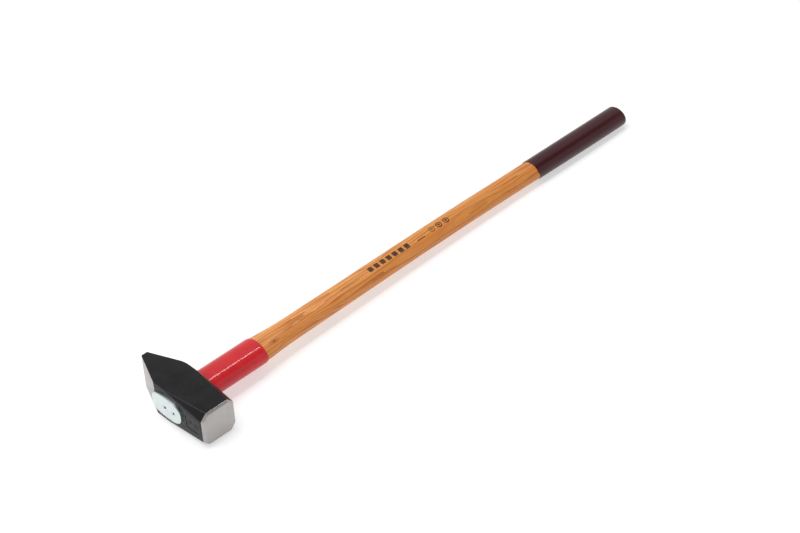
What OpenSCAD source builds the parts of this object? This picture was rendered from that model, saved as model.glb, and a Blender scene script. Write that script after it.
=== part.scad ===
// Cross-pein sledgehammer, lying on one cheek of its head.
// X runs from the eye of the head along the handle, Y towards the pein, Z up through the cheeks.
// The origin is on the lower cheek, straight below the middle of the eye. Millimetres.

/* [Head] */
// Width of the head across its flats, and its height as it lies
head_w = 57; // [50:0.5:72]
// Distance from the middle of the eye to the striking face
face_reach = 73; // [62:0.5:95]
// Distance from the middle of the eye to the tip of the pein
pein_reach = 84; // [72:0.5:110]
// Distance from the middle of the eye to the shoulder where the pein starts to taper
pein_shoulder = 29.5; // [26:0.5:44]
// Thickness of the pein at its tip
pein_tip_t = 10.4; // [6:0.2:16]
// Radius on the two corners of the pein's tip
pein_tip_r = 2; // [0.5:0.1:2.6]
// Radius of the pein's shoulder on the handle's side
shoulder_r = 40; // [10:1:60]
// Radius of the pein's shoulder on the plate's side
shoulder_plate_r = 8; // [2:1:40]
// Width that each long edge's chamfer has grown to at the striking face
edge_chamfer = 9.7; // [4:0.1:12]
// Distance from the middle of the eye, towards the pein, at which those chamfers start
chamfer_start = 5.6; // [0:0.1:16]
// Bevel round the rim of the striking face
face_bevel = 3; // [1:0.1:4]
// Length of the sunk panel beside the plate
panel_l = 28; // [12:0.5:30]
// Height of the sunk panel
panel_h = 23; // [10:0.5:26]
// Depth of the sunk panel
panel_depth = 0.6; // [0.2:0.1:1.5]
// Distance from the sunk panel to the rim of the striking face
panel_setback = 7; // [5:0.5:10]

/* [Eye] */
// Length of the eye at its waist, along the head
eye_w = 42; // [34:0.5:46]
// Height of the eye at its waist
eye_t = 28; // [27.5:0.5:32]
// Flare of the eye at its mouth under the plate, on each side
eye_flare = 2.5; // [1:0.1:3]

/* [Sleeve] */
// Outside width of the sleeve, along the head
sleeve_w = 49.5; // [46:0.5:54]
// Outside height of the sleeve
sleeve_t = 35; // [33:0.5:42]
// Thickness of the sleeve's wall
sleeve_wall = 1.5; // [0.8:0.1:2.5]
// Length of the sleeve that shows below the head
sleeve_l = 103.2; // [70:0.2:140]
// How far the sleeve's lip is rolled in
lip_in = 0.7; // [0.2:0.1:1.2]
// Length over which the lip is rolled in
lip_l = 6; // [3:0.5:12]

/* [Handle] */
// Distance from the middle of the eye to the end of the grip
handle_reach = 888; // [560:1:960]
// Width of the neck of the handle
neck_w = 38.6; // [32:0.2:42]
// Height of the neck
neck_t = 30.8; // [26:0.2:34]
// Distance from the sleeve's lip to the neck
neck_from_lip = 72; // [50:1:100]
// Width of the handle at its slimmest
slim_w = 36; // [30:0.2:40]
// Height of the handle at its slimmest
slim_t = 28.8; // [24:0.2:32]
// Distance from the end of the grip to the handle's slimmest place
slim_from_end = 260; // [200:1:320]
// Width of the wood inside the grip
grip_w = 37; // [32:0.2:42]
// Height of the wood inside the grip
grip_t = 29.6; // [26:0.2:34]
// Rounding of the end of the grip
grip_end_r = 6; // [2:0.5:10]
// How far the handle bows towards the pein between its sleeve and its end
bow = 3; // [0:0.5:8]
// Length of the dipped coat on the grip
coat_l = 199; // [100:1:260]
// Thickness of the dipped coat
coat_t = 0.8; // [0.4:0.1:2]
// Slant of the coat's front edge, away from square to the handle
dip_slant = 21; // [0:0.5:30]
// Which way that edge slants, turned from straight up towards the pein
dip_turn = 20; // [0:1:90]

/* [Plate and its screws] */
// How far the plate reaches past the mouth of the eye at each end
plate_end_lap = 7; // [5:0.5:9]
// How far the plate reaches past the mouth of the eye at each side
plate_side_lap = 2; // [1:0.1:4]
// How far the plate sits from the middle of the eye, towards the pein
plate_shift = 2.2; // [0:0.1:3]
// Thickness of the safety plate
plate_t = 4.6; // [4:0.1:7]
// Bevel round the plate's outer rim
plate_bevel = 1; // [0.4:0.1:2]
// Depth of the seat that the plate is let into
seat_depth = 0.8; // [0.3:0.1:2]
// Gap between the plate and the wall of its seat
seat_gap = 1.6; // [0.2:0.1:2]
// How far the first screw sits from the middle of the plate, towards the pein
screw_shift = 1.7; // [-2:0.1:2]
// Distance from the first screw to the second, towards the striking face
screw_pitch = 17.8; // [17:0.1:19]
// Radius of each screw's countersunk head
screw_head_r = 5; // [4:0.1:6]
// Radius of each screw's shank
screw_r = 2.5; // [2:0.1:3]
// Length of each screw
screw_l = 28; // [20:0.5:34]
// Width across the flats of each screw's hexagon socket
socket_across = 4; // [3:0.5:5]
// How far the screws sit below the plate's outer face
screw_sunk = 0.3; // [0.1:0.1:1]

/* [Wedges] */
// Thickness of the wooden wedge at its thick end
wedge_t = 4.5; // [3:0.1:6]
// Thickness of the wooden wedge at its thin end
wedge_tip_t = 1; // [0.6:0.1:2]
// Length of the wooden wedge
wedge_l = 36; // [30:0.5:42]
// Wood left between each edge of the wooden wedge and the waist of the eye
wedge_cover = 2.5; // [1.5:0.1:4]
// Wood left between the ring wedge and the waist of the eye
ring_cover = 1.6; // [1.2:0.1:2.5]
// Wall of the ring wedge
ring_wall = 1.6; // [1:0.1:2]
// Length of the ring wedge
ring_l = 20; // [12:0.5:26]

/* [Fits] */
// Clearance between pieces that fit closely
fit_gap = 0.05; // [0.02:0.01:0.15]

/* [Hidden] */

half_w = head_w / 2;             // from the middle of the eye to each flat
mid_z = half_w;                  // height of the handle's axis
sides = 40;                      // flats round an oval section
round_oval = 2;                  // exponent of a true ellipse
square_oval = 2.7;               // exponent of the plate's squarer oval
steps = 6;                       // flats in a rounded corner
cut = 1;                         // overshoot of a cutting tool
block = 4 * head_w;              // size of a block that cuts a whole flat
panel_r = 2.5;                   // corner radius of the sunk panel
screw_edge = 0.8;                // straight edge of a screw's head, above its cone
socket_depth = 2.4;

plate_w = eye_w + 2 * (eye_flare + plate_end_lap);
plate_h = eye_t + 2 * (eye_flare + plate_side_lap);
seat_x = -half_w + seat_depth;   // floor of the plate's seat, and the top end of the wood
plate_x = seat_x - plate_t;      // outer face of the plate
screw_x = plate_x + screw_sunk;  // outer face of each screw
first_y = plate_shift + screw_shift;
second_y = first_y - screw_pitch;
wedge_w = eye_w - 2 * wedge_cover;
ring_r = eye_t / 2 - ring_cover;
lip_x = half_w + sleeve_l;       // end of the sleeve
sleeved_w = sleeve_w - 2 * (sleeve_wall + fit_gap);
sleeved_t = sleeve_t - 2 * (sleeve_wall + fit_gap);
rim_y = -face_reach + face_bevel;
chamfer_run = chamfer_start - rim_y;
chamfer_tilt = atan(edge_chamfer / sqrt(2) / chamfer_run);
corner_r = (head_w - edge_chamfer) / sqrt(2);   // from the handle's axis to a chamfer, at the rim

// ---- helpers -------------------------------------------------------------------------------------

// Points of an oval: exponent 2 is an ellipse, more is squarer
function oval(a, b, e) = [for (i = [0:sides - 1])
    let (t = 360 * i / sides, c = cos(t), s = sin(t))
    [a * sign(c) * pow(abs(c), 2 / e), b * sign(s) * pow(abs(s), 2 / e)]];

// Points of the round that replaces the corner b between a and c
function fillet(a, b, c, r) =
    let (u = (a - b) / norm(a - b), v = (c - b) / norm(c - b), half = acos(u * v) / 2,
         o = b + (u + v) / norm(u + v) * r / sin(half),
         p = b + u * r / tan(half) - o, q = b + v * r / tan(half) - o,
         from = atan2(p.y, p.x), turn = atan2(p.x * q.y - p.y * q.x, p * q))
    [for (i = [0:steps]) o + r * [cos(from + turn * i / steps), sin(from + turn * i / steps)]];

// Smooth curve through stations [x, a, b]: the value in a column at x
function slope(s, i, k) = let (h = max(i - 1, 0), j = min(i + 1, len(s) - 1))
    (s[j][k] - s[h][k]) / (s[j][0] - s[h][0]);
function span_at(s, x) = max([0, for (i = [0:len(s) - 2]) if (s[i][0] <= x) i]);
function along(s, x, k) =
    let (i = span_at(s, x), w = s[i + 1][0] - s[i][0], t = (x - s[i][0]) / w,
         m0 = slope(s, i, k) * w, m1 = slope(s, i + 1, k) * w)
    (2 * pow(t, 3) - 3 * t * t + 1) * s[i][k] + (pow(t, 3) - 2 * t * t + t) * m0
    + (3 * t * t - 2 * pow(t, 3)) * s[i + 1][k] + (pow(t, 3) - t * t) * m1;

// Ring of points of an oval section [x, y, half width, half height]
function ring_pts(s, e) = [for (p = oval(s[2], s[3], e)) [s[0], s[1] + p.x, mid_z + p.y]];

// Triangles of the wall between ring i and ring j
function wall(i, j) = [for (k = [0:sides - 1]) let (n = (k + 1) % sides)
    each [[i * sides + k, j * sides + k, j * sides + n], [i * sides + k, j * sides + n, i * sides + n]]];

// Solid through a list of oval sections, closed at both ends
module loft(sections, e = round_oval) {
    last = len(sections) - 1;
    faces = concat([for (i = [0:last - 1]) each wall(i, i + 1)],
                   [[for (k = [0:sides - 1]) k], [for (k = [sides - 1:-1:0]) last * sides + k]]);
    polyhedron([for (s = sections) each ring_pts(s, e)], faces);
}

// Tube through a closed loop of oval sections: along its outside, and back along its inside
module tube_loft(sections, e = round_oval) {
    n = len(sections);
    polyhedron([for (s = sections) each ring_pts(s, e)], [for (i = [0:n - 1]) each wall(i, (i + 1) % n)]);
}

// Rod or cone along X, at the height of the handle's axis
module rod(x, length, r1, r2, y = 0) {
    translate([x, y, mid_z]) rotate([0, 90, 0]) cylinder(h = length, r1 = r1, r2 = r2, $fn = 48);
}

// ---- head ----------------------------------------------------------------------------------------

// Outline of the head seen from above, as it lies
module head_outline() {
    tip = pein_tip_t / 2;
    face = [[-half_w, -face_reach], [half_w, -face_reach]];
    shoulder = [[half_w, pein_shoulder], [-half_w, pein_shoulder]];
    nose = [[tip, pein_reach], [-tip, pein_reach]];
    polygon(concat(face, fillet(face[1], shoulder[0], nose[0], shoulder_r),
                   fillet(shoulder[0], nose[0], nose[1], pein_tip_r),
                   fillet(nose[0], nose[1], shoulder[1], pein_tip_r),
                   fillet(nose[1], shoulder[1], face[0], shoulder_plate_r)));
}

// Block that planes one long edge of the head, deeper towards the striking face
module edge_plane() {
    translate([half_w, chamfer_start, half_w]) rotate([0, 45, 0]) rotate([chamfer_tilt, 0, 0])
        translate([-block / 2, -block / 2, 0]) cube([block, block, head_w]);
}

// Blocks that bevel the eight sides of the striking face
module rim_planes() {
    for (k = [0:7]) {
        r = k % 2 == 0 ? half_w : corner_r;
        translate([0, -face_reach, 0]) rotate([0, 45 * k, 0]) translate([r - face_bevel, 0, 0])
            rotate([0, 0, -45]) translate([0, -head_w, -head_w]) cube([head_w, 2 * head_w, 2 * head_w]);
    }
}

// The eye: slimmest at its waist, flared towards both mouths
function eye_half(x) = x < 0
    ? [eye_w / 2 + eye_flare * pow(x / half_w, 2), eye_t / 2 + eye_flare * pow(x / half_w, 2)]
    : [eye_w / 2 + (sleeved_w - eye_w) / 2 * pow(x / half_w, 2),
       eye_t / 2 + (sleeved_t - eye_t) / 2 * pow(x / half_w, 2)];
function eye_section(x, gap) = let (h = eye_half(max(min(x, half_w), -half_w)))
    [x, 0, h[0] - gap, h[1] - gap];
eye_xs = [for (i = [-3:3]) half_w * i / 3];

module head() color([0.2, 0.2, 0.21]) difference() {
    linear_extrude(head_w) head_outline();
    translate([0, 0, mid_z]) for (sx = [0, 1], sz = [0, 1])
        mirror([sx, 0, 0]) mirror([0, 0, sz]) edge_plane();
    translate([0, 0, mid_z]) rim_planes();
    loft([for (x = concat([-half_w - cut], eye_xs, [half_w + cut])) eye_section(x, 0)]);
    plate_seat();
    sunk_panel();
}

module plate_seat() {
    loft([for (x = [-half_w - cut, seat_x])
              [x, plate_shift, plate_w / 2 + seat_gap, plate_h / 2 + seat_gap]], square_oval);
}

module sunk_panel() {
    from = rim_y + panel_setback;
    corners = [[from, -panel_h / 2], [from + panel_l, -panel_h / 2],
               [from + panel_l, panel_h / 2], [from, panel_h / 2]];
    rounded = [for (i = [0:3])
        each fillet(corners[(i + 3) % 4], corners[i], corners[(i + 1) % 4], panel_r)];
    translate([-half_w + panel_depth, 0, mid_z]) rotate([0, -90, 0]) rotate([0, 0, 90])
        linear_extrude(panel_depth + cut) polygon([for (p = rounded) [p.x, -p.y]]);
}

// ---- handle --------------------------------------------------------------------------------------

// Half widths and half heights of the wood beyond the sleeve
neck_x = lip_x + neck_from_lip;
slim_x = handle_reach - slim_from_end;
grip_x = handle_reach - coat_l;
wood_end_x = handle_reach - coat_t;
shape = [[half_w, sleeved_w / 2, sleeved_t / 2],
         [lip_x, sleeved_w / 2, sleeved_t / 2],
         [lip_x + neck_from_lip * 0.45, (sleeved_w + 2 * neck_w) / 6, (sleeved_t + 2 * neck_t) / 6],
         [neck_x, neck_w / 2, neck_t / 2],
         [slim_x, slim_w / 2, slim_t / 2],
         [handle_reach - coat_l / 2, grip_w / 2, grip_t / 2],
         [handle_reach, grip_w / 2, grip_t / 2]];

// Sideways bow of the handle's axis beyond the sleeve
function bow_at(x) = x < lip_x ? 0 : bow * pow(sin(180 * (x - lip_x) / (handle_reach - lip_x)), 2);

// Section of the wood at x, grown by an amount
function wood(x, grow) = [x, bow_at(x), along(shape, x, 1) + grow, along(shape, x, 2) + grow];

// Sections that round off the end of the grip, ending at end_x, with the wood grown by an amount
function rounded_end(end_x, grow, r) = [for (i = [0:steps])
    let (t = 90 * i / steps, x = end_x - r * (1 - sin(t)), s = wood(min(x, handle_reach), grow))
    [x, s[1], s[2] - r * (1 - cos(t)), s[3] - r * (1 - cos(t))]];

neck_rings = [for (i = [0:8]) lip_x + neck_from_lip * i / 8];
long_rings = [for (i = [1:12]) neck_x + (grip_x - neck_x) * i / 12];
grip_rings = [for (i = [1:5]) grip_x + (wood_end_x - grip_end_r - grip_x) * i / 6];

module handle() color([0.86, 0.6, 0.36]) difference() {
    loft(concat([for (x = eye_xs) if (x < half_w) eye_section(max(x, seat_x), fit_gap)],
                [[half_w, 0, sleeved_w / 2 - fit_gap, sleeved_t / 2 - fit_gap]],
                [for (x = concat(neck_rings, long_rings, grip_rings)) wood(x, 0)],
                rounded_end(wood_end_x, 0, grip_end_r - coat_t)));
    wedge_shape(fit_gap);
    ring_shape(fit_gap);
    for (y = [first_y, second_y]) screw_shape(y, fit_gap);
}

// The skin starts ahead of its slanted edge, which is then cut across it
coat_start = grip_x - (grip_w + grip_t) / 2 * tan(dip_slant);

module grip_coat() color([0.28, 0.14, 0.16]) difference() {
    loft(concat([for (x = concat([coat_start, grip_x], grip_rings)) wood(x, fit_gap + coat_t)],
                rounded_end(handle_reach + fit_gap, fit_gap + coat_t, grip_end_r)));
    loft(concat([for (x = concat([coat_start - cut, coat_start, grip_x], grip_rings)) wood(x, fit_gap)],
                rounded_end(wood_end_x + fit_gap, fit_gap, grip_end_r - coat_t)));
    translate([grip_x, 0, mid_z]) rotate([-dip_turn, 0, 0]) rotate([0, -dip_slant, 0])
        translate([-block, -block / 2, -block / 2]) cube(block);
}

// ---- sleeve --------------------------------------------------------------------------------------

module handle_sleeve() color([0.78, 0.13, 0.15]) {
    w = sleeve_w / 2;
    t = sleeve_t / 2;
    lip = [for (i = [0:4]) let (f = i / 4) [lip_x - lip_l * (1 - f), lip_in * f * f]];
    tube_loft(concat([[half_w, 0, w, t]], [for (p = lip) [p[0], 0, w - p[1], t - p[1]]],
                     [for (x = [lip_x, half_w]) [x, 0, w - sleeve_wall, t - sleeve_wall]]));
}

// ---- plate and screws ----------------------------------------------------------------------------

// A screw at y, grown by an amount: flush head, countersink, shank and point
module screw_shape(y, grow) {
    cone = screw_head_r - screw_r;
    cone_x = screw_x + screw_edge;
    point_x = screw_x + screw_l - 2 * screw_r;
    open = grow > 0 ? screw_sunk + cut : 0;
    rod(screw_x - open, screw_edge + open + fit_gap, screw_head_r + grow, screw_head_r + grow, y);
    rod(cone_x, cone, screw_head_r + grow, screw_r + grow, y);
    rod(cone_x + cone - fit_gap, point_x - cone_x - cone + fit_gap, screw_r + grow, screw_r + grow, y);
    rod(point_x - fit_gap, 2 * screw_r, screw_r + grow, fit_gap + grow, y);
}

module screw(y) color([0.6, 0.62, 0.64]) difference() {
    screw_shape(y, 0);
    translate([screw_x - cut, y, mid_z]) rotate([0, 90, 0])
        cylinder(h = socket_depth + cut, d = socket_across / cos(30), $fn = 6);
}

module first_screw() screw(first_y);

module second_screw() screw(second_y);

module safety_plate() color([0.85, 0.87, 0.87]) difference() {
    loft([for (s = [[plate_x, plate_bevel], [plate_x + plate_bevel, 0], [seat_x, 0]])
              [s[0], plate_shift, plate_w / 2 - s[1], plate_h / 2 - s[1]]], square_oval);
    for (y = [first_y, second_y]) screw_shape(y, fit_gap);
}

// ---- wedges --------------------------------------------------------------------------------------

// The wooden wedge, grown by an amount, driven in from the plate's side
module wedge_shape(grow) {
    t = wedge_t / 2 + grow;
    tip = wedge_tip_t / 2 + grow;
    open = grow > 0 ? cut : 0;
    translate([0, wedge_w / 2 + grow, mid_z]) rotate([90, 0, 0]) linear_extrude(wedge_w + 2 * grow)
        polygon([[seat_x - open, -t], [seat_x + wedge_l + grow, -tip],
                 [seat_x + wedge_l + grow, tip], [seat_x - open, t]]);
}

// The ring wedge, grown by an amount, its leading edge bevelled inside
module ring_shape(grow) {
    open = grow > 0 ? cut : 0;
    translate([seat_x - open, first_y, mid_z]) rotate([0, 90, 0]) rotate_extrude($fn = 64)
        polygon([[ring_r - ring_wall - grow, 0], [ring_r + grow, 0], [ring_r + grow, ring_l + open + grow],
                 [ring_r - ring_wall / 2 - grow, ring_l + open + grow],
                 [ring_r - ring_wall - grow, ring_l + open - ring_wall]]);
}

module wood_wedge() color([0.72, 0.5, 0.3]) difference() {
    wedge_shape(0);
    ring_shape(fit_gap);
    for (y = [first_y, second_y]) screw_shape(y, fit_gap);
}

module ring_wedge() color([0.5, 0.51, 0.53]) ring_shape(0);

head();
handle();
wood_wedge();
ring_wedge();
handle_sleeve();
grip_coat();
safety_plate();
first_screw();
second_screw();
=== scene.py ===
# %% [markdown]
# # A cross-pein sledgehammer
# The hammer lies on one cheek of its head. A forged head, black with ground ends, is held by a wooden
# handle. A red steel sleeve guards the neck, a bright plate closes the eye, and the grip is dipped.
# The CAD nodes are loaded first. They give every place and size, so no piece has to be fitted by eye.

# %% Load the frame
import math

import bmesh
import bpy
from mathutils import Matrix, Vector


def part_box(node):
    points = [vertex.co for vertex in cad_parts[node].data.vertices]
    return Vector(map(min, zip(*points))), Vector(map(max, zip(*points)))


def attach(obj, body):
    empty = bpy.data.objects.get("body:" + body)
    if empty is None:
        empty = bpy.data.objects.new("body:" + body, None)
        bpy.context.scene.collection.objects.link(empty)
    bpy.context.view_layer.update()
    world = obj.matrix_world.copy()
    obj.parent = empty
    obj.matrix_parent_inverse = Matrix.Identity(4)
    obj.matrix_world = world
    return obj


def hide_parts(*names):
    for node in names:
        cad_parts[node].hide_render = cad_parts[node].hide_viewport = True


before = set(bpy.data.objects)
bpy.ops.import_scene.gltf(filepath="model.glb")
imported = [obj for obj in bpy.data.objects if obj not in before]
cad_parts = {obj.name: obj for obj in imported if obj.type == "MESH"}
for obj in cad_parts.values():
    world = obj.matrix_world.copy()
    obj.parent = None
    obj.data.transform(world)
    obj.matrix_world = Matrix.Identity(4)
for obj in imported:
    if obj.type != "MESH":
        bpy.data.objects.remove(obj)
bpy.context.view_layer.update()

# %% [markdown]
# ## Measures
# Lengths are in metres. The middle of the head's height is the handle's axis, and each oval piece is a
# stack of oval rings round that axis. The rings are measured from the CAD node's own points, so that
# a changed size is followed without editing this lesson.

# %% Where the head is, and how the oval rings are measured
MM = 0.001
head_low, head_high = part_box("head")
plate_low, plate_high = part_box("safety_plate")
sleeve_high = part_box("handle_sleeve")[1]
wood_low, wood_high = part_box("handle")
coat_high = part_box("grip_coat")[1]
FLAT = head_high.x                              # from the axis to each flat of the head
AXIS_Z = (head_low.z + head_high.z) / 2         # height of the handle's axis


def oval_rings(node, fewest=36):
    """Rings (x, y, half width, half height) of an oval CAD node, from its points grouped by x."""
    groups = {}
    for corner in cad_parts[node].data.vertices:
        groups.setdefault(round(corner.co.x / MM, 2), set()).add(
            (round(corner.co.y / MM, 3), round(corner.co.z / MM, 3)))
    rings = []
    for x, points in sorted(groups.items()):
        if len(points) >= fewest:
            ys, zs = [p[0] for p in points], [p[1] for p in points]
            rings.append((x * MM, (max(ys) + min(ys)) / 2 * MM,
                          (max(ys) - min(ys)) / 2 * MM, (max(zs) - min(zs)) / 2 * MM))
    widest = max(ring[2] for ring in rings)
    rings = [ring for ring in rings if ring[2] > 0.5 * widest]
    # A ring much narrower than both of its neighbours is the edge of a hole cut into the piece.
    return [ring for before, ring, after in zip(rings[:1] + rings, rings, rings[1:] + rings[-1:])
            if ring[2] > 0.9 * min(before[2], after[2])]


wood_rings = oval_rings("handle")
sleeve_rings = oval_rings("handle_sleeve")
print(len(wood_rings), "rings of wood,", len(sleeve_rings), "rings of the sleeve")

# %% [markdown]
# ## Helpers for modelling
# Operators act on whatever is selected, so each piece is selected alone before it is edited. Edges and
# faces are then picked by their place, as one would pick them by eye in the viewport.

# %% Select, edit and pick
TINY = 0.00002


def select_only(*pieces):
    bpy.ops.object.select_all(action="DESELECT")
    for piece in pieces:
        piece.select_set(True)
    bpy.context.view_layer.objects.active = pieces[0]


def edit(piece):
    select_only(piece)
    bpy.ops.object.mode_set(mode="EDIT")
    bpy.ops.mesh.select_mode(type="VERT")
    bpy.ops.mesh.select_all(action="SELECT")


def leave_edit():
    bpy.ops.object.mode_set(mode="OBJECT")


def pick_edges(piece, wanted):
    """In edit mode, select the edges whose two ends satisfy wanted."""
    bpy.ops.mesh.select_mode(type="EDGE")
    bpy.ops.mesh.select_all(action="DESELECT")
    mesh = bmesh.from_edit_mesh(piece.data)
    picked = [edge for edge in mesh.edges if wanted(*(corner.co for corner in edge.verts))]
    for edge in picked:
        edge.select_set(True)
    bmesh.update_edit_mesh(piece.data)
    return len(picked)


def outward_normals(piece):
    edit(piece)
    bpy.ops.mesh.remove_doubles(threshold=TINY / 4)
    bpy.ops.mesh.normals_make_consistent(inside=False)
    leave_edit()


# %% [markdown]
# Each piece starts as a primitive at its size and place, and that place is then written into its mesh, so
# that a pattern on Object coordinates stays put. At the end the piece is hung on the root body, and the CAD
# node that it replaces is hidden.

# %% Start and finish a piece
def place_applied(piece, name):
    """Name the new piece and write its place, turn and size into its mesh."""
    piece.name = piece.data.name = name
    bpy.ops.object.transform_apply(location=True, rotation=True, scale=True)
    return piece


def new_block(name, low, high):
    bpy.ops.object.select_all(action="DESELECT")
    middle = [(a + b) / 2 for a, b in zip(low, high)]
    bpy.ops.mesh.primitive_cube_add(size=1, location=middle, scale=[b - a for a, b in zip(low, high)])
    return place_applied(bpy.context.object, name)


def apply_modifier(piece, kind, **settings):
    select_only(piece)
    added = piece.modifiers.new(kind.lower(), kind)
    for option, value in settings.items():
        setattr(added, option, value)
    bpy.ops.object.modifier_apply(modifier=added.name)


def cut_away(piece, cutter):
    """Take a closed cutter out of a piece, then throw the cutter away."""
    apply_modifier(piece, "BOOLEAN", object=cutter, operation="DIFFERENCE", solver="EXACT")
    bpy.data.objects.remove(cutter)


def smooth(piece, angle=30):
    select_only(piece)
    bpy.ops.object.shade_smooth_by_angle(angle=math.radians(angle))


def finish_piece(piece, node, slot, *materials):
    """Give the piece its materials, hang it on the root body and hide the CAD node that it replaces."""
    piece.data.materials.clear()
    for material in materials:
        piece.data.materials.append(material)
    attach(piece, "root")
    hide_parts(node)
    print(node, "made with", len(piece.data.polygons), "faces")


# %% [markdown]
# ## Oval lofts
# The handle, the sleeve, the dipped coat and the plate are all ovals that change slowly along the
# handle. A lathe can't make an oval that changes, so each starts as a circle of points, scaled to an
# oval. Its edge is extruded to the next ring and resized there, which is how a loft is made by hand. The
# plate is squarer than a true oval, so the points of its first ring are pushed out before it grows.

# %% Extrude a circle from ring to ring
def square_off(piece, y, wide, high, exponent):
    """In edit mode, push an oval ring out to a squarer one: an exponent of 2 leaves it as it is."""
    mesh = bmesh.from_edit_mesh(piece.data)
    for corner in mesh.verts:
        turn = math.atan2((corner.co.z - AXIS_Z) / high, (corner.co.y - y) / wide)
        across, upward = math.cos(turn), math.sin(turn)
        corner.co.y = y + wide * math.copysign(abs(across) ** (2 / exponent), across)
        corner.co.z = AXIS_Z + high * math.copysign(abs(upward) ** (2 / exponent), upward)
    bmesh.update_edit_mesh(piece.data)


def oval_loft(name, rings, sides=96, closed=True, exponent=2):
    x, y, wide, high = rings[0]
    bpy.ops.object.select_all(action="DESELECT")
    bpy.ops.mesh.primitive_circle_add(
        vertices=sides, radius=wide, fill_type="NGON" if closed else "NOTHING",
        location=(x, y, AXIS_Z), rotation=(0, math.pi / 2, 0))
    piece = place_applied(bpy.context.object, name)
    edit(piece)
    bpy.ops.transform.resize(value=(1, 1, high / wide), center_override=(x, y, AXIS_Z))
    if exponent != 2:
        square_off(piece, y, wide, high, exponent)
    if closed:
        bpy.ops.mesh.select_mode(type="FACE")
        bpy.ops.mesh.select_all(action="SELECT")
    for x2, y2, wide2, high2 in rings[1:]:
        bpy.ops.mesh.extrude_region_move(TRANSFORM_OT_translate={"value": (x2 - x, y2 - y, 0)})
        bpy.ops.transform.resize(value=(1, wide2 / wide, high2 / high), center_override=(x2, y2, AXIS_Z))
        x, y, wide, high = x2, y2, wide2, high2
    leave_edit()
    outward_normals(piece)
    return piece


# %% [markdown]
# ## Helpers for materials
# Materials are built from nodes in code. One helper adds a node and gives each of its inputs a number,
# a colour or the output of another node, and a second one does the same for sums.

# %% Add nodes
def add_node(tree, kind, inputs=None, **settings):
    made = tree.nodes.new("ShaderNode" + kind)
    for option, value in settings.items():
        setattr(made, option, value)
    for key, value in (inputs or {}).items():
        if isinstance(value, bpy.types.NodeSocket):
            tree.links.new(value, made.inputs[key])
        else:
            made.inputs[key].default_value = value
    return made


def sum_of(tree, operation, first, second=0.0):
    return add_node(tree, "Math", {0: first, 1: second}, operation=operation).outputs[0]


def tone(tree, value, *stops):
    """Colours at places from 0 to 1, as (place, (red, green, blue))."""
    ramp = add_node(tree, "ValToRGB", {"Fac": value})
    points = ramp.color_ramp.elements
    while len(points) < len(stops):
        points.new(0.5)
    for point, (place, colour) in zip(points, stops):
        point.position, point.color = place, (*colour, 1)
    return ramp.outputs["Color"]


def level(tree, value, low, high, from_low=0.0, from_high=1.0):
    """Map a mask onto a range of numbers."""
    return add_node(tree, "MapRange", {"Value": value, "From Min": from_low, "From Max": from_high,
                                       "To Min": low, "To Max": high}).outputs["Result"]


def mix_rgb(tree, mask, below, above):
    made = tree.nodes.new("ShaderNodeMix")
    made.data_type = "RGBA"
    for index, value in ((0, mask), (6, below), (7, above)):
        if isinstance(value, bpy.types.NodeSocket):
            tree.links.new(value, made.inputs[index])
        else:
            made.inputs[index].default_value = value if index == 0 else (*value, 1)
    return made.outputs[2]


# %% [markdown]
# A material keeps its Principled shader, and the numbers that are the same all over go straight onto it. A
# group holds what several materials share, and gives out a mask that changes over the surface.

# %% Start a material or a group
def new_group(name, inputs, outputs):
    """A shader node group with named float or vector sockets."""
    group = bpy.data.node_groups.new(name, "ShaderNodeTree")
    for way, sockets in (("INPUT", inputs), ("OUTPUT", outputs)):
        for label, kind in sockets:
            group.interface.new_socket(name=label, in_out=way, socket_type="NodeSocket" + kind)
    entry = group.nodes.new("NodeGroupInput")
    leaving = group.nodes.new("NodeGroupOutput")
    print("group", name, "gives", [label for label, kind in outputs])
    return group, entry.outputs, leaving.inputs


def place_group(tree, group, inputs):
    made = tree.nodes.new("ShaderNodeGroup")
    made.node_tree = group
    for key, value in inputs.items():
        if isinstance(value, bpy.types.NodeSocket):
            tree.links.new(value, made.inputs[key])
        else:
            made.inputs[key].default_value = value
    return made.outputs


def new_material(name, **sockets):
    """A material with a Principled shader, and the object's own coordinates."""
    material = bpy.data.materials.new(name)
    material.use_nodes = True
    tree = material.node_tree
    shader = tree.nodes["Principled BSDF"].inputs
    for key, value in sockets.items():
        shader[key.replace("_", " ")].default_value = value
    place = add_node(tree, "TexCoord").outputs["Object"]
    print("material", name)
    return material, tree, shader, place


def bump(tree, shader, height, depth, strength=1.0):
    made = add_node(tree, "Bump", {"Height": height, "Distance": depth, "Strength": strength})
    tree.links.new(made.outputs["Normal"], shader["Normal"])


# %% [markdown]
# ## Effects that several finishes share
# Paint, steel, lacquer and dipped plastic all vary in cloudy patches, and wear first along their edges, where
# a painted highlight is laid as well.
# Ground metal and wood both have fine lines along one direction. Each effect is a node group, built once
# and placed in every material with its own values.

# %% Cloudy patches
cloud_group, taken, given = new_group("cloud", [("Vector", "Vector"), ("Size", "Float")],
                                      [("Cloud", "Float")])
tree = cloud_group
scale = sum_of(tree, "DIVIDE", 1.0, taken["Size"])
cloud = add_node(tree, "TexNoise", {"Vector": taken["Vector"], "Scale": scale, "Detail": 5.0,
                                    "Roughness": 0.6})
tree.links.new(level(tree, cloud.outputs["Fac"], 0, 1, 0.3, 0.7), given["Cloud"])
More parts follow.
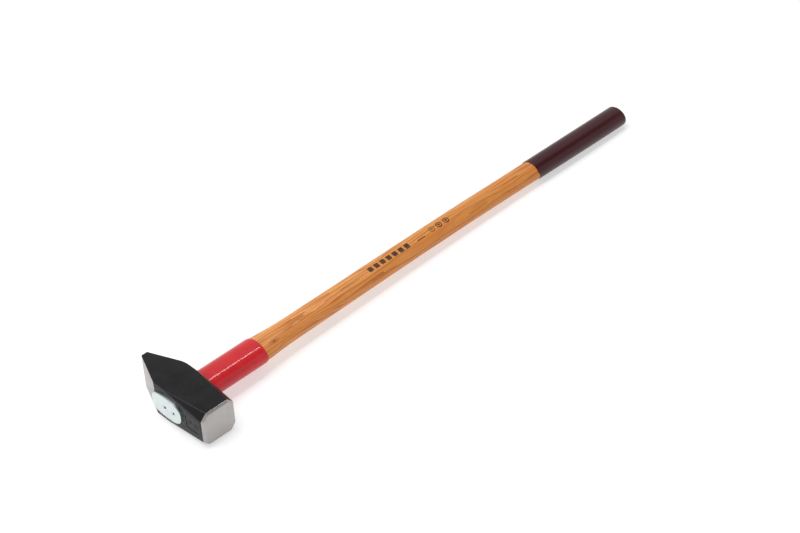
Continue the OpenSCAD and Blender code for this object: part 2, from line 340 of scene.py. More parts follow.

# %% [markdown]
# Paint rubs off along edges first, and a rounded edge catches a highlight, so the same mask carries both the
# wear and a painted highlight. Wear could be painted by hand, but a mask from the shape follows every edge by
# itself, however the piece is changed.

# %% Wear and painted highlight along edges
# A Bevel node's normal leans away from the true normal only near an edge. Noise breaks the line up.
wear_and_highlight_group, taken, given = new_group(
    "edge_wear_and_highlight", [("Vector", "Vector"), ("Reach", "Float"), ("Patch", "Float")], [("WornAndLit", "Float")])
tree = wear_and_highlight_group
soft = add_node(tree, "Bevel", {"Radius": taken["Reach"]}, samples=4)
true = add_node(tree, "NewGeometry")
lean = add_node(tree, "VectorMath", {0: soft.outputs["Normal"], 1: true.outputs["Normal"]},
                operation="DOT_PRODUCT")
near = level(tree, lean.outputs["Value"], 1, 0, 0.93, 0.995)
patches = place_group(tree, cloud_group, {"Vector": taken["Vector"], "Size": taken["Patch"]})["Cloud"]
tree.links.new(sum_of(tree, "MULTIPLY", near, level(tree, patches, 0.1, 1)), given["WornAndLit"])

# %% [markdown]
# Grinding and rolling leave fine lines in metal, and wood has fibres. All are noise drawn out along one
# direction, so one group serves them all.

# %% Fine lines along one direction
# The stretch squeezes the coordinates, so that round noise becomes long streaks.
line_group, taken, given = new_group(
    "fine_lines", [("Vector", "Vector"), ("Stretch", "Vector"), ("Scale", "Float")], [("Lines", "Float")])
tree = line_group
drawn = add_node(tree, "VectorMath", {0: taken["Vector"], 1: taken["Stretch"]}, operation="MULTIPLY")
lines = add_node(tree, "TexNoise", {"Vector": drawn.outputs[0], "Scale": taken["Scale"], "Detail": 4.0})
tree.links.new(level(tree, lines.outputs["Fac"], 0, 1, 0.3, 0.7), given["Lines"])

# %% [markdown]
# ## Head finishes
# The forged head is dipped in satin black paint. Its edges are coloured lighter, partly as worn paint showing
# steel and partly as a painted highlight, and its flats carry faint handling marks. The striking face and the
# pein's slopes are ground bright after painting, which leaves fine lines across them.

# %% Black paint
black_paint, tree, shader, place = new_material("black_paint", Specular_IOR_Level=0.15)
patches = place_group(tree, cloud_group, {"Vector": place, "Size": 0.03})["Cloud"]
specks = place_group(tree, cloud_group, {"Vector": place, "Size": 0.0012})["Cloud"]
worn_and_lit = place_group(tree, wear_and_highlight_group, {"Vector": place, "Reach": 0.0007, "Patch": 0.006})["WornAndLit"]
painted = tone(tree, patches, (0.2, (0.010, 0.010, 0.011)), (0.8, (0.015, 0.015, 0.0165)))
dusty = mix_rgb(tree, level(tree, specks, 0, 0.06, 0.72, 1), painted, (0.25, 0.25, 0.26))
# Painted highlight along the edges, together with worn paint: the edges are coloured a lighter grey.
rubbed_and_lit = sum_of(tree, "MULTIPLY", worn_and_lit, 0.55)
tree.links.new(mix_rgb(tree, rubbed_and_lit, dusty, (0.22, 0.21, 0.21)), shader["Base Color"])
tree.links.new(level(tree, patches, 0.16, 0.24), shader["Roughness"])
orange_peel = add_node(tree, "TexNoise", {"Vector": place, "Scale": 1400.0, "Detail": 2.0}).outputs["Fac"]
bump(tree, shader, orange_peel, 0.00003)

# %% [markdown]
# The ground ends are bare metal, so the shader is fully metallic. The lines vary its roughness as well as
# its colour, which is what makes ground steel shimmer when it turns.

# %% Ground steel
ground_steel, tree, shader, place = new_material("ground_steel", Metallic=1.0)
grind = place_group(tree, line_group, {"Vector": place, "Stretch": (1.0, 1.0, 0.04),
                                       "Scale": 1500.0})["Lines"]
patches = place_group(tree, cloud_group, {"Vector": place, "Size": 0.02})["Cloud"]
worn_and_lit = place_group(tree, wear_and_highlight_group, {"Vector": place, "Reach": 0.0008, "Patch": 0.004})["WornAndLit"]
steel = tone(tree, grind, (0.1, (0.35, 0.332, 0.325)), (0.9, (0.41, 0.39, 0.383)))
cloudy = mix_rgb(tree, level(tree, patches, 0, 0.4), steel, (0.45, 0.43, 0.42))
# Painted highlight along the bevels and edges of the ground steel, partly wear: they are coloured lighter.
rubbed_and_lit = sum_of(tree, "MULTIPLY", worn_and_lit, 0.5)
tree.links.new(mix_rgb(tree, rubbed_and_lit, cloudy, (0.7, 0.68, 0.66)), shader["Base Color"])
tree.links.new(level(tree, grind, 0.32, 0.48), shader["Roughness"])
bump(tree, shader, grind, 0.00002)

# %% [markdown]
# ## Head
# The real head is one forging. It could be sculpted, but every one of its faces is flat, so it is sawn from
# a block: first the two slopes of the pein, then the rounded shoulders, then the four long chamfers, which
# deepen towards the striking face, and last the bevel round that face.

# %% Saw the block to shape
SHOULDER_Y = 29.5 * MM          # where the pein starts to taper
TIP_HALF = 5.2 * MM             # half the thickness of the pein's tip
CHAMFER_START_Y = 5.6 * MM      # where the long chamfers run out
CHAMFER_WIDTH = 9.7 * MM        # width of each chamfer at the striking face
FACE_BEVEL = 3 * MM
HANDLE_SIDE_ROUND = 8.19 * MM   # how far the long round of the shoulder reaches, on the handle's side
PLATE_SIDE_ROUND = 1.64 * MM    # and the short one on the plate's side
TIP_ROUND = 1.3 * MM


def saw_off(point, outward):
    """In edit mode, cut away all that lies past a plane, and close the cut."""
    bpy.ops.mesh.select_mode(type="VERT")
    bpy.ops.mesh.select_all(action="SELECT")
    bpy.ops.mesh.bisect(plane_co=point, plane_no=outward, use_fill=True, clear_outer=True)


def round_upright(piece, x, y, width, steps):
    """In edit mode, round the upright edges that stand at a place seen from above."""
    pick_edges(piece, lambda a, b: all(abs(p.x - x) < TINY and abs(p.y - y) < TINY for p in (a, b)))
    bpy.ops.mesh.bevel(offset=width, segments=steps, affect="EDGES")


head = new_block("hammer_head", head_low, head_high)
edit(head)
for side in (1, -1):
    saw_off((side * FLAT, SHOULDER_Y, AXIS_Z), (side * (head_high.y - SHOULDER_Y), FLAT - TIP_HALF, 0))
round_upright(head, FLAT, SHOULDER_Y, HANDLE_SIDE_ROUND, 14)
round_upright(head, -FLAT, SHOULDER_Y, PLATE_SIDE_ROUND, 6)
for side in (1, -1):
    round_upright(head, side * TIP_HALF, head_high.y, TIP_ROUND, 6)
tilt = math.atan2(CHAMFER_WIDTH / math.sqrt(2), CHAMFER_START_Y - head_low.y - FACE_BEVEL)
for side in (1, -1):
    for up in (1, -1):
        outward = (side * math.cos(tilt) / math.sqrt(2), -math.sin(tilt), up * math.cos(tilt) / math.sqrt(2))
        saw_off((side * FLAT, CHAMFER_START_Y, AXIS_Z + up * FLAT), outward)
rim_edges = pick_edges(head, lambda a, b: a.y < head_low.y + TINY and b.y < head_low.y + TINY)
bpy.ops.mesh.bevel(offset=FACE_BEVEL, segments=1, affect="EDGES")
leave_edit()
print("the rim of the striking face has", rim_edges, "edges")

# %% [markdown]
# A forged edge is never sharp. A Bevel modifier that only takes edges above an angle softens them all at
# once, and leaves the rounds of the shoulders alone. The eye, the plate's seat and the sunk panel are cut
# after that, each with a closed cutter and a Boolean, so their own edges stay crisp, as a punch leaves them.

# %% Soften the edges
EDGE_SOFTENING = 0.7 * MM
outward_normals(head)
apply_modifier(head, "BEVEL", width=EDGE_SOFTENING, segments=3, limit_method="ANGLE",
               angle_limit=math.radians(20), use_clamp_overlap=False)

# %% [markdown]
# The eye is the oval hole that the handle goes through, and the seat is the shallow recess round it. The
# eye's cutter is the wood's own loft, a clearance wider and carried on past both flats of the head.

# %% Cut the eye and the plate's seat
SEAT_DEPTH = plate_high.x + FLAT
SEAT_GAP = 1.6 * MM
LIP = 0.9 * MM                  # chamfer round the mouth of the seat
SQUARE_OVAL = 2.7               # exponent of the plate's squarer oval
FIT_GAP = 0.05 * MM             # clearance between pieces that fit closely

plate_y = (plate_low.y + plate_high.y) / 2
plate_half = ((plate_high.y - plate_low.y) / 2, (plate_high.z - plate_low.z) / 2)
seat_half = [half + SEAT_GAP for half in plate_half]
seat_rings = [(x, plate_y, seat_half[0] + grow, seat_half[1] + grow) for x, grow in (
    (-FLAT - 2 * LIP, 2.5 * LIP), (-FLAT + LIP / 2, 0), (-FLAT + SEAT_DEPTH, 0))]
seat_cutter = oval_loft("seat_cutter", seat_rings, exponent=SQUARE_OVAL)
print("the seat is", round(SEAT_DEPTH / MM, 2), "mm deep")
cut_away(head, seat_cutter)


def carried_on(x, end, inner):
    """The ring at x, on the straight line from an inner ring through an end ring."""
    share = (x - inner[0]) / (end[0] - inner[0])
    return (x, *(b + (a - b) * share for a, b in zip(end[1:], inner[1:])))


eye_rings = [(x, y, wide + FIT_GAP, high + FIT_GAP) for x, y, wide, high in wood_rings
             if x < FLAT + TINY]
eye_cutter = oval_loft("eye_cutter", [carried_on(-FLAT - MM, eye_rings[0], eye_rings[1])] + eye_rings[1:-1]
                       + [carried_on(FLAT + MM, eye_rings[-1], eye_rings[-2])])
cut_away(head, eye_cutter)

# %% [markdown]
# The panel beside the plate is pressed into the head, and carries raised marks. Here they are a plain ring
# and three bars, left standing by taking them out of the cutter before it cuts.

# %% Press the panel
PANEL_FROM = head_low.y + FACE_BEVEL + 7 * MM
PANEL_LONG, PANEL_HIGH, PANEL_DEEP = 28 * MM, 23 * MM, 0.6 * MM
panel_x = -FLAT + PANEL_DEEP
panel = new_block("panel_cutter", (-FLAT - 2 * MM, PANEL_FROM, AXIS_Z - PANEL_HIGH / 2),
                  (panel_x, PANEL_FROM + PANEL_LONG, AXIS_Z + PANEL_HIGH / 2))
edit(panel)
pick_edges(panel, lambda a, b: abs(a.x - b.x) > TINY)
bpy.ops.mesh.bevel(offset=2.5 * MM, segments=6, affect="EDGES")
leave_edit()
for bar in range(3):
    start = PANEL_FROM + (4 + 3.6 * bar) * MM
    mark = new_block("raised_bar", (panel_x - 0.4 * MM, start, AXIS_Z - 5 * MM),
                     (panel_x + MM, start + 1.6 * MM, AXIS_Z + 5 * MM))
    cut_away(panel, mark)
bpy.ops.object.select_all(action="DESELECT")
bpy.ops.mesh.primitive_torus_add(major_radius=4 * MM, minor_radius=0.7 * MM,
                                 major_segments=40, minor_segments=8,
                                 location=(panel_x + 0.1 * MM, PANEL_FROM + 20.5 * MM, AXIS_Z),
                                 rotation=(0, math.pi / 2, 0))
cut_away(panel, place_applied(bpy.context.object, "raised_ring"))
cut_away(head, panel)
smooth(head, 25)

# %% [markdown]
# The head is one mesh with two materials. Each face takes its finish from where it lies and which way it
# looks, so the bright ends keep to the real edges of the grinding.

# %% Paint the head, and leave its ends bright
finish_piece(head, "head", "head_paint", black_paint, ground_steel)
slope = Vector((head_high.y - SHOULDER_Y, FLAT - TIP_HALF, 0)).normalized()
for face in head.data.polygons:
    on_face = face.center.y < head_low.y + FACE_BEVEL + 0.2 * MM
    faces_pein = abs(face.normal.z) < 0.5 and face.normal.y > slope.y * 0.6
    on_slope = face.center.y > SHOULDER_Y - MM and faces_pein
    face.material_index = 1 if on_face or on_slope else 0
print("bright faces:", sum(face.material_index for face in head.data.polygons))

# %% [markdown]
# ## Handle
# The handle is turned ash or hickory. The wood's growth rings run along it, so where the surface crosses
# them they show as long lines and pointed arches. The rings are circles round a pith that lies outside the
# handle and tilts a little to its axis, made with a Wave texture in rings, and disturbed by noise.

# %% Growth rings, fibres and pores
wood_group, taken, given = new_group(
    "wood_grain", [("Vector", "Vector")],
    [("Rings", "Float"), ("Fibres", "Float"), ("Pores", "Float"), ("Bands", "Float")])
tree = wood_group
leaned = add_node(tree, "Mapping", {"Vector": taken["Vector"], "Location": (0, 0.046, 0.022),
                                    "Rotation": (0, math.radians(-1.1), math.radians(1.6)),
                                    "Scale": (0.09, 1, 1)})
swirl = add_node(tree, "TexNoise", {"Vector": leaned.outputs[0], "Scale": 34.0, "Detail": 3.0})
push = add_node(tree, "VectorMath", {0: swirl.outputs["Color"], 1: (0.045, 0.045, 0.045)},
                operation="MULTIPLY")
bent = add_node(tree, "VectorMath", {0: leaned.outputs[0], 1: push.outputs[0]}, operation="ADD")
rings = add_node(tree, "TexWave", {"Vector": bent.outputs[0], "Scale": 56.0, "Distortion": 4.0,
                                   "Detail": 4.0, "Detail Scale": 1.5},
                 wave_type="RINGS", rings_direction="X", wave_profile="SAW")
tree.links.new(rings.outputs["Fac"], given["Rings"])
fibres = place_group(tree, line_group, {"Vector": taken["Vector"], "Stretch": (0.02, 1, 1), "Scale": 900.0})
tree.links.new(fibres["Lines"], given["Fibres"])
pores = place_group(tree, line_group, {"Vector": taken["Vector"], "Stretch": (0.05, 1, 1), "Scale": 2200.0})
tree.links.new(level(tree, pores["Lines"], 0, 1, 0.75, 1.0), given["Pores"])
bands = place_group(tree, line_group, {"Vector": taken["Vector"], "Stretch": (0.05, 1, 1), "Scale": 90.0})
tree.links.new(bands["Lines"], given["Bands"])

# %% [markdown]
# The maker's print on the handle is replaced with plain marks: a row of upright bars, a short line and three
# small rings. Each is a mask worked out from where a point lies on the upper side of the wood.

# %% Printed marks
mark_group, taken, given = new_group("printed_marks", [("Vector", "Vector")], [("Ink", "Float")])
tree = mark_group
apart = add_node(tree, "SeparateXYZ", {"Vector": taken["Vector"]}).outputs


def within(value, middle, half):
    """1 where the value lies inside a span."""
    away = sum_of(tree, "ABSOLUTE", sum_of(tree, "SUBTRACT", value, middle))
    return sum_of(tree, "LESS_THAN", away, half)


def both(first, second):
    return sum_of(tree, "MULTIPLY", first, second)


def either(first, second):
    return sum_of(tree, "MAXIMUM", first, second)


BAR_FROM, BAR_PITCH, BAR_COUNT = 345 * MM, 12.2 * MM, 7
along = sum_of(tree, "DIVIDE", sum_of(tree, "SUBTRACT", apart["X"], BAR_FROM), BAR_PITCH)
bars = both(both(within(along, BAR_COUNT / 2, BAR_COUNT / 2), within(apart["Y"], -1.6 * MM, 4.4 * MM)),
            sum_of(tree, "LESS_THAN", sum_of(tree, "FRACT", along), 0.66))
ink = either(bars, both(within(apart["X"], 449.5 * MM, 7.5 * MM), within(apart["Y"], -4.3 * MM, 0.8 * MM)))
for middle, strength in ((474.5 * MM, 0.6), (489.2 * MM, 0.95), (503.8 * MM, 0.95)):
    flat = add_node(tree, "CombineXYZ", {"X": sum_of(tree, "SUBTRACT", apart["X"], middle),
                                         "Y": sum_of(tree, "SUBTRACT", apart["Y"], -0.4 * MM)})
    away = add_node(tree, "VectorMath", {0: flat.outputs[0]}, operation="LENGTH").outputs["Value"]
    outline = either(within(away, 4.4 * MM, 0.9 * MM), within(away, 0, 2.2 * MM))
    ink = either(ink, both(outline, strength))
on_top = sum_of(tree, "GREATER_THAN", apart["Z"], AXIS_Z)
tree.links.new(both(ink, on_top), given["Ink"])

# %% [markdown]
# The colour is built up in layers: growth rings, broad bands, painted light on one side and painted shade on
# the other, darker late wood, fibres, pores, one knot and one dark streak. A thin coat over it is the
# lacquer.

# %% Lacquered wood
lacquered_wood, tree, shader, place = new_material("lacquered_wood", Coat_Weight=0.22, Coat_Roughness=0.12,
                                                   Specular_IOR_Level=0.15)
grain = place_group(tree, wood_group, {"Vector": place})
patches = place_group(tree, cloud_group, {"Vector": place, "Size": 0.05})["Cloud"]
wood = tone(tree, grain["Rings"], (0.0, (0.74, 0.335, 0.09)), (0.5, (0.67, 0.245, 0.05)),
            (0.82, (0.46, 0.128, 0.020)), (1.0, (0.34, 0.082, 0.012)))
wood = mix_rgb(tree, level(tree, grain["Bands"], 0, 0.75, 0.35, 0.9), wood, (0.70, 0.29, 0.068))
spot = add_node(tree, "SeparateXYZ", {"Vector": place}).outputs
across = spot["Y"]
wood = mix_rgb(tree, level(tree, spot["X"], 0.3, 0, 150 * MM, 480 * MM), wood, (0.95, 0.45, 0.16))
wood = mix_rgb(tree, level(tree, spot["X"], 0, 0.3, 420 * MM, 700 * MM), wood, (0.45, 0.13, 0.022))
# Painted light and shade across the handle: the wood is coloured darker towards -Y and lighter towards +Y,
# the edge between them broken up by the bands.
light_and_shade_across = sum_of(tree, "ADD", across, level(tree, grain["Bands"], -4 * MM, 4 * MM))
wood = mix_rgb(tree, level(tree, light_and_shade_across, 0.5, 0, -14 * MM, 0), wood, (0.60, 0.19, 0.034))
wood = mix_rgb(tree, level(tree, light_and_shade_across, 0, 0.4, 2 * MM, 12 * MM), wood, (0.76, 0.38, 0.12))
wood = mix_rgb(tree, level(tree, grain["Rings"], 0, 0.7, 0.6, 1), wood, (0.36, 0.095, 0.016))
wood = mix_rgb(tree, level(tree, grain["Fibres"], 0, 0.38), wood, (0.43, 0.135, 0.025))
wood = mix_rgb(tree, level(tree, grain["Pores"], 0, 0.55), wood, (0.26, 0.08, 0.02))
wood = mix_rgb(tree, level(tree, patches, 0, 0.18), wood, (0.66, 0.34, 0.11))


def dark_place(wood, middle, reach, depth, colour):
    """Darken the wood round one place, such as a knot, over a reach in each direction."""
    centred = add_node(tree, "VectorMath", {0: place, 1: middle}, operation="SUBTRACT").outputs[0]
    squeezed = add_node(tree, "VectorMath", {0: centred, 1: reach}, operation="DIVIDE").outputs[0]
    away = add_node(tree, "VectorMath", {0: squeezed}, operation="LENGTH").outputs["Value"]
    return mix_rgb(tree, level(tree, away, depth, 0, 0.2, 1), wood, colour)


KNOT = (152 * MM, -13.6 * MM, 40.6 * MM)
STREAK = (567 * MM, -8.6 * MM, 43.4 * MM)
wood = dark_place(wood, KNOT, (12 * MM, 5 * MM, 5 * MM), 0.55, (0.3, 0.09, 0.025))
wood = dark_place(wood, KNOT, (3 * MM, 1.6 * MM, 1.6 * MM), 0.8, (0.16, 0.05, 0.02))
wood = dark_place(wood, STREAK, (42 * MM, 3.4 * MM, 5 * MM), 0.8, (0.2, 0.06, 0.018))
ink = place_group(tree, mark_group, {"Vector": place})["Ink"]
worn_ink = sum_of(tree, "MULTIPLY", ink, level(tree, grain["Fibres"], 0.96, 0.82))
tree.links.new(mix_rgb(tree, worn_ink, wood, (0.010, 0.006, 0.004)), shader["Base Color"])
tree.links.new(level(tree, patches, 0.36, 0.46), shader["Roughness"])
bump(tree, shader, sum_of(tree, "SUBTRACT", grain["Fibres"], grain["Pores"]), 0.00004)

# %% [markdown]
# The handle is one loft, from its top end under the plate to its rounded end inside the grip's coat. The saw
# cut for the wooden wedge, the ring wedge's slot and the screw holes are then cut, each with a closed
# cutter that starts outside the wood, because a Boolean leaves slivers where two faces share a plane.

# %% Loft the handle
handle = oval_loft("wooden_handle", wood_rings)


def round_cutter(name, *rings):
    return oval_loft(name, [(x, y, radius, radius) for x, y, radius in rings], sides=48)


OUTSIDE_X = wood_low.x - MM     # every cutter starts here, clear of the wood's top end
WEDGE_TIP = 1 * MM
low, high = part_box("wood_wedge")
wedge_thick = high.z - low.z + 2 * FIT_GAP
slot = new_block("slot_cutter", (OUTSIDE_X, low.y - FIT_GAP, AXIS_Z - wedge_thick / 2),
                 (high.x + FIT_GAP, high.y + FIT_GAP, AXIS_Z + wedge_thick / 2))
edit(slot)
pick_edges(slot, lambda a, b: min(a.x, b.x) > high.x - TINY)
bpy.ops.transform.resize(value=(1, 1, (WEDGE_TIP + 2 * FIT_GAP) / wedge_thick),
                         center_override=(high.x, 0, AXIS_Z))
leave_edit()
cut_away(handle, slot)

RING_WALL = 1.6 * MM
low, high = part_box("ring_wedge")
ring_y, ring_radius = (low.y + high.y) / 2, (high.z - low.z) / 2
ring_slot = round_cutter("ring_cutter", (OUTSIDE_X, ring_y, ring_radius + FIT_GAP),
                         (high.x + FIT_GAP, ring_y, ring_radius + FIT_GAP))
core_radius = ring_radius - RING_WALL - FIT_GAP
core = round_cutter("core", (OUTSIDE_X - MM, ring_y, core_radius), (high.x + MM, ring_y, core_radius))
cut_away(ring_slot, core)
cut_away(handle, ring_slot)

SCREW_HEAD, SCREW_SHANK = 5 * MM, 2.5 * MM
for screw in ("first_screw", "second_screw"):
    low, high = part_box(screw)
    screw_y = (low.y + high.y) / 2
    cut_away(handle, round_cutter("screw_cutter", (OUTSIDE_X, screw_y, SCREW_SHANK + FIT_GAP),
                                  (high.x - 2 * SCREW_SHANK, screw_y, SCREW_SHANK + FIT_GAP),
                                  (high.x, screw_y, 2 * FIT_GAP)))
smooth(handle, 40)
finish_piece(handle, "handle", "handle_wood", lacquered_wood)

# %% [markdown]
# ## Sleeve
# The sleeve is a steel tube pressed oval, enamelled in glossy red, with its free end rolled in against the
# wood. Only its outside is lofted. Solidify gives it a wall, as sheet metal has.

# %% Red enamel
red_enamel, tree, shader, place = new_material("red_enamel", Specular_IOR_Level=0.1, Coat_Weight=0.6,
                                               Coat_Roughness=0.04)
patches = place_group(tree, cloud_group, {"Vector": place, "Size": 0.025})["Cloud"]
worn_and_lit = place_group(tree, wear_and_highlight_group, {"Vector": place, "Reach": 0.0006, "Patch": 0.003})["WornAndLit"]
enamel = tone(tree, patches, (0.1, (0.50, 0.010, 0.016)), (0.9, (0.58, 0.018, 0.024)))
# On the enamel the edge mask only darkens: worn edges, with no highlight.
rubbed_and_lit = sum_of(tree, "MULTIPLY", worn_and_lit, 0.35)
tree.links.new(mix_rgb(tree, rubbed_and_lit, enamel, (0.16, 0.01, 0.012)), shader["Base Color"])
tree.links.new(level(tree, patches, 0.4, 0.5), shader["Roughness"])
ripple = add_node(tree, "TexNoise", {"Vector": place, "Scale": 260.0, "Detail": 2.0}).outputs["Fac"]
bump(tree, shader, ripple, 0.00004)

# %% [markdown]
# Solidify puts the wall inside the loft, so the outside keeps its measured size. The free rim is then
# softened with a small bevel.

# %% Loft the sleeve
SLEEVE_WALL = 1.5 * MM
sleeve = oval_loft("red_sleeve", sleeve_rings, closed=False)
apply_modifier(sleeve, "SOLIDIFY", thickness=SLEEVE_WALL, offset=-1)
edit(sleeve)
pick_edges(sleeve, lambda a, b: min(a.x, b.x) > sleeve_high.x - TINY)
bpy.ops.mesh.bevel(offset=0.4 * MM, segments=3, affect="EDGES")
leave_edit()
smooth(sleeve, 40)
finish_piece(sleeve, "handle_sleeve", "sleeve_paint", red_enamel)

# %% [markdown]
# ## Dipped grip
# The grip is dipped in burgundy lacquer at a slant, which leaves a thin skin with a slanting front edge. The
# skin starts as a tube a little wider than the wood. A slanted plane cuts its front, and Solidify gives it a
# thickness inwards.

# %% Burgundy dip
burgundy_dip, tree, shader, place = new_material("burgundy_dip", Specular_IOR_Level=0.35)
patches = place_group(tree, cloud_group, {"Vector": place, "Size": 0.03})["Cloud"]
runs = place_group(tree, line_group, {"Vector": place, "Stretch": (0.05, 1, 1),
                                      "Scale": 160.0})["Lines"]
dip = tone(tree, patches, (0.1, (0.039, 0.0055, 0.008)), (0.9, (0.048, 0.0078, 0.0105)))
tree.links.new(mix_rgb(tree, level(tree, runs, 0, 0.4), dip, (0.036, 0.006, 0.008)), shader["Base Color"])
tree.links.new(level(tree, patches, 0.2, 0.27), shader["Roughness"])
bump(tree, shader, runs, 0.00001)

# %% [markdown]
# The end is rounded with a quarter circle of rings and closed with a face. The bisect comes before Solidify,
# so that the slanted rim gets a real thickness.

# %% Loft the coat, cut its slanted edge and give it a thickness
COAT = 0.8 * MM
DIP_SLANT, DIP_TURN = math.radians(21), math.radians(20)
DIP_LENGTH = 199 * MM
DIP_X = coat_high.x - DIP_LENGTH
END_ROUND = 6 * MM
grow = coat_high.x - wood_high.x
straight = [(x, y, wide + grow, high + grow) for x, y, wide, high in wood_rings
            if DIP_X - 30 * MM < x < coat_high.x - END_ROUND]
last = straight[-1]
rounded = []
for step in range(1, 10):
    turn = math.pi / 2 * step / 9
    shrink = END_ROUND * (1 - math.cos(turn))
    x = coat_high.x - END_ROUND * (1 - math.sin(turn))
    rounded.append((x, last[1], last[2] - shrink, last[3] - shrink))
coat = oval_loft("dipped_grip", straight + rounded, closed=False)
edit(coat)
pick_edges(coat, lambda a, b: min(a.x, b.x) > coat_high.x - TINY)
bpy.ops.mesh.edge_face_add()
bpy.ops.mesh.select_mode(type="VERT")
bpy.ops.mesh.select_all(action="SELECT")
front = Vector((-math.cos(DIP_SLANT), -math.sin(DIP_SLANT) * math.sin(DIP_TURN),
                -math.sin(DIP_SLANT) * math.cos(DIP_TURN)))
bpy.ops.mesh.bisect(plane_co=(DIP_X, 0, AXIS_Z), plane_no=front, clear_outer=True)
leave_edit()
outward_normals(coat)
apply_modifier(coat, "SOLIDIFY", thickness=COAT, offset=-1)
edit(coat)


def at_front(point):
    return abs((point - Vector((DIP_X, 0, AXIS_Z))).dot(front)) < 0.5 * MM


pick_edges(coat, lambda a, b: at_front(a) and at_front(b) and a.x < DIP_X + 30 * MM)
bpy.ops.mesh.bevel(offset=0.3 * MM, segments=3, affect="EDGES")
leave_edit()
smooth(coat, 40)
finish_piece(coat, "grip_coat", "grip_dip", burgundy_dip)

# %% [markdown]
# ## Safety plate
# The plate is stamped from zinc-plated steel: an oval, a little squarer than a true one, with a bevelled rim
# and two countersunk holes. The screws themselves are the CAD nodes, which already have the right shape.

# %% Zinc plate
bright_zinc, tree, shader, place = new_material("bright_zinc", Metallic=1.0)
patches = place_group(tree, cloud_group, {"Vector": place, "Size": 0.008})["Cloud"]
rolled = place_group(tree, line_group, {"Vector": place, "Stretch": (1, 0.05, 1), "Scale": 1200.0})["Lines"]
worn_and_lit = place_group(tree, wear_and_highlight_group, {"Vector": place, "Reach": 0.0006, "Patch": 0.004})["WornAndLit"]
zinc = tone(tree, patches, (0.1, (0.62, 0.675, 0.68)), (0.9, (0.70, 0.755, 0.755)))
zinc = mix_rgb(tree, level(tree, rolled, 0, 0.2), zinc, (0.6, 0.66, 0.68))
# Painted highlight on the rim and edges, partly wear: they are coloured a lighter zinc.
rubbed_and_lit = sum_of(tree, "MULTIPLY", worn_and_lit, 0.6)
tree.links.new(mix_rgb(tree, rubbed_and_lit, zinc, (0.9, 0.93, 0.93)), shader["Base Color"])
tree.links.new(level(tree, rolled, 0.3, 0.42), shader["Roughness"])
bump(tree, shader, rolled, 0.00002)

# %% [markdown]
# The plate's first ring is squared off and the others grow from it. Each countersink is a round cutter whose
# radii follow the screw: head, cone and shank.

# %% Loft the plate, square it off and drill it
PLATE_BEVEL = 1 * MM
plate = oval_loft("safety_plate_piece", [
    (plate_high.x, plate_y, *plate_half), (plate_low.x + PLATE_BEVEL, plate_y, *plate_half),
    (plate_low.x, plate_y, plate_half[0] - PLATE_BEVEL, plate_half[1] - PLATE_BEVEL)],
    exponent=SQUARE_OVAL)
for screw in ("first_screw", "second_screw"):
    low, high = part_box(screw)
    middle_y = (low.y + high.y) / 2
    hole = round_cutter("hole_cutter", *((x, middle_y, radius) for x, radius in (
        (plate_low.x - MM, SCREW_HEAD + 0.3 * MM), (plate_low.x + 0.2 * MM, SCREW_HEAD + FIT_GAP),
        (low.x + 0.8 * MM, SCREW_HEAD + FIT_GAP), (low.x + 3.3 * MM, SCREW_SHANK + FIT_GAP),
        (plate_high.x + MM, SCREW_SHANK + FIT_GAP))))
    cut_away(plate, hole)
smooth(plate, 30)
finish_piece(plate, "safety_plate", "plate_zinc", bright_zinc)

# %% [markdown]
# ## Screws and wedges
# The screws and the two wedges keep their CAD shapes, and only get a finish. The screws are zinc plated, with
# painted shade darkening their sockets. The wedges are bare steel and bare wood.

# %% Finish the CAD nodes
screw_zinc, tree, shader, place = new_material("screw_zinc", Metallic=1.0)
patches = place_group(tree, cloud_group, {"Vector": place, "Size": 0.003})["Cloud"]
zinc = tone(tree, patches, (0.1, (0.58, 0.64, 0.65)), (0.9, (0.74, 0.79, 0.79)))
# Painted shade: the sockets are coloured near black from 0.5 mm below the plate's face, fully by 1.6 mm.
depth = add_node(tree, "SeparateXYZ", {"Vector": place}).outputs["X"]
socket_shade = level(tree, depth, 0, 1, plate_low.x + 0.5 * MM, plate_low.x + 1.6 * MM)
tree.links.new(mix_rgb(tree, socket_shade, zinc, (0.02, 0.02, 0.022)), shader["Base Color"])
tree.links.new(level(tree, patches, 0.3, 0.45), shader["Roughness"])

wedge_steel, tree, shader, place = new_material("wedge_steel", Metallic=1.0)
patches = place_group(tree, cloud_group, {"Vector": place, "Size": 0.004})["Cloud"]
bare = tone(tree, patches, (0.1, (0.34, 0.34, 0.35)), (0.9, (0.48, 0.48, 0.48)))
tree.links.new(bare, shader["Base Color"])
tree.links.new(level(tree, patches, 0.35, 0.55), shader["Roughness"])

wedge_wood, tree, shader, place = new_material("wedge_wood")
fibres = place_group(tree, line_group, {"Vector": place, "Stretch": (0.04, 1, 1),
                                        "Scale": 700.0})["Lines"]
bare = tone(tree, fibres, (0.1, (0.30, 0.15, 0.06)), (0.9, (0.48, 0.27, 0.12)))
tree.links.new(bare, shader["Base Color"])
tree.links.new(level(tree, fibres, 0.6, 0.75), shader["Roughness"])
bump(tree, shader, fibres, 0.00005)

for node, material in (("first_screw", screw_zinc), ("second_screw", screw_zinc),
                       ("ring_wedge", wedge_steel), ("wood_wedge", wedge_wood)):
    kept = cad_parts[node]
    kept.data.materials.clear()
    kept.data.materials.append(material)
    print(node, "keeps its CAD shape")

# %% [markdown]
# ## Floor
# A hammer on a table rests on the lower edge of its head and on the underside of its grip, so the floor is
# tilted a little under it. It is plain white, with the faintest unevenness.

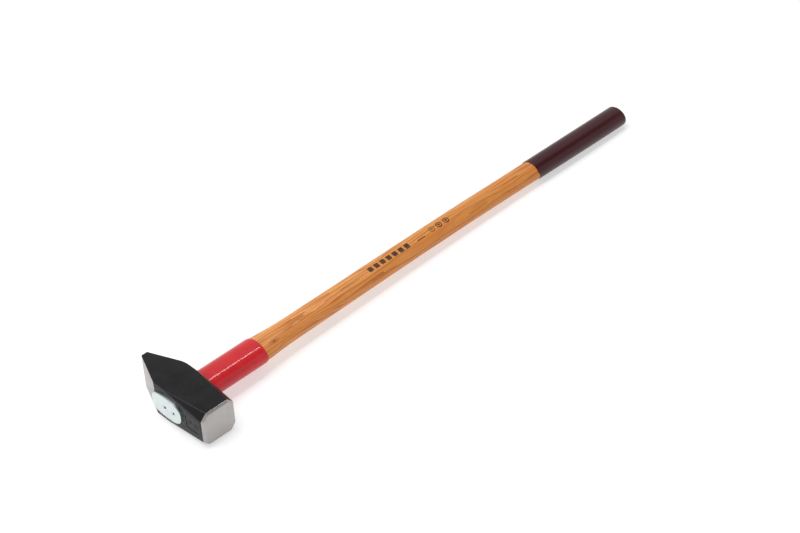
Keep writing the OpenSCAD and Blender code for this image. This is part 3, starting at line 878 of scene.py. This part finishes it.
# %% Lay the floor under the two places that touch it
floor_white, tree, shader, place = new_material("floor_white", Roughness=0.85, Specular_IOR_Level=0.1,
                                                Emission_Color=(1, 1, 1, 1), Emission_Strength=0.5)
patches = place_group(tree, cloud_group, {"Vector": place, "Size": 0.4})["Cloud"]
white = tone(tree, patches, (0.1, (0.59, 0.59, 0.59)), (0.9, (0.61, 0.61, 0.61)))
tree.links.new(white, shader["Base Color"])
FLOOR_SIZE = 14
TOUCH_X = coat_high.x - 8 * MM
touch_z = AXIS_Z - last[3]
floor_tilt = math.atan2(touch_z - head_low.z, TOUCH_X - FLAT)
bpy.ops.object.select_all(action="DESELECT")
bpy.ops.mesh.primitive_plane_add(size=1, location=(0, 0, 0), scale=(1, 1, 1))
floor = place_applied(bpy.context.object, "floor")
edit(floor)
bpy.ops.transform.resize(value=(FLOOR_SIZE, FLOOR_SIZE, 1), center_override=(0, 0, 0))
bpy.ops.mesh.subdivide(number_cuts=5)
leave_edit()
floor.data.transform(Matrix.Translation((FLAT, 0, head_low.z)) @ Matrix.Rotation(-floor_tilt, 4, "Y"))
floor.data.materials.append(floor_white)
print("the floor tilts", round(math.degrees(floor_tilt), 2), "degrees")

# %% [markdown]
# ## Camera
# A long lens from high on the plate's side of the head, turned a few degrees, so that the handle runs away to
# the upper right and both the plate and the striking face show.

# %% Set the camera
azimuth, elevation, roll = math.radians(-42.14), math.radians(39.98), math.radians(-3.07)
back = Vector((math.sin(azimuth) * math.cos(elevation), -math.cos(azimuth) * math.cos(elevation),
               math.sin(elevation)))
level_right = Vector((0, 0, 1)).cross(back).normalized()
level_up = back.cross(level_right)
right = level_right * math.cos(roll) + level_up * math.sin(roll)
up = level_up * math.cos(roll) - level_right * math.sin(roll)
turned = Matrix((right, up, back)).transposed().to_4x4()
turned.translation = Vector((-1.25087, -1.83365, 2.08458))
print("the camera stands", round(turned.translation.length, 2), "m from the origin")
lens = bpy.data.cameras.new("camera")
lens.lens, lens.sensor_width = 99, 36
camera = bpy.data.objects.new("camera", lens)
camera.matrix_world = turned
bpy.context.scene.collection.objects.link(camera)
bpy.context.scene.camera = camera

# %% [markdown]
# ## Light
# A white surround lights the hammer evenly, with one dark side, as a room has beyond a white tent. One wide
# lamp above gives the soft shadow, and a long thin lamp over the handle draws the bright line along the
# glossy sleeve.

# %% Hang the lamps
bpy.context.scene.view_settings.view_transform = "Standard"
surround = bpy.data.worlds.new("surround")
surround.use_nodes = True
tree = surround.node_tree
toward = add_node(tree, "SeparateXYZ", {"Vector": add_node(tree, "TexCoord").outputs["Generated"]}).outputs
unlit = sum_of(tree, "MULTIPLY", level(tree, toward["Y"], 1, 0, -0.01, 0.03),
               level(tree, toward["Z"], 0, 1, 0.6, 0.72))
unlit = sum_of(tree, "MULTIPLY", unlit, level(tree, toward["X"], 0, 1, -0.4, -0.1))
backdrop = tree.nodes["Background"].inputs
backdrop["Color"].default_value = (1, 1, 1, 1)
tree.links.new(level(tree, unlit, 0.7, 0.1), backdrop["Strength"])
bpy.context.scene.world = surround


def hang_lamp(name, place, target, size, power):
    lamp = bpy.data.lights.new(name, "AREA")
    lamp.shape, lamp.size, lamp.size_y, lamp.energy = "RECTANGLE", *size, power
    hung = bpy.data.objects.new(name, lamp)
    aim = (Vector(place) - Vector(target)).normalized()
    across = Vector((1, 0, 0))
    side = aim.cross(across).normalized()
    hung.matrix_world = Matrix((side.cross(aim), side, aim)).transposed().to_4x4()
    hung.matrix_world.translation = Vector(place)
    bpy.context.scene.collection.objects.link(hung)
    print(name, "hung at", place)


hang_lamp("wide_lamp", (-0.6, 0.8, 2.4), (0.3, 0, 0), (2.0, 1.5), 34)
hang_lamp("long_lamp", (0.75, 0.03, 1.6), (0.75, 0, 0.03), (1.1, 0.12), 6.5)
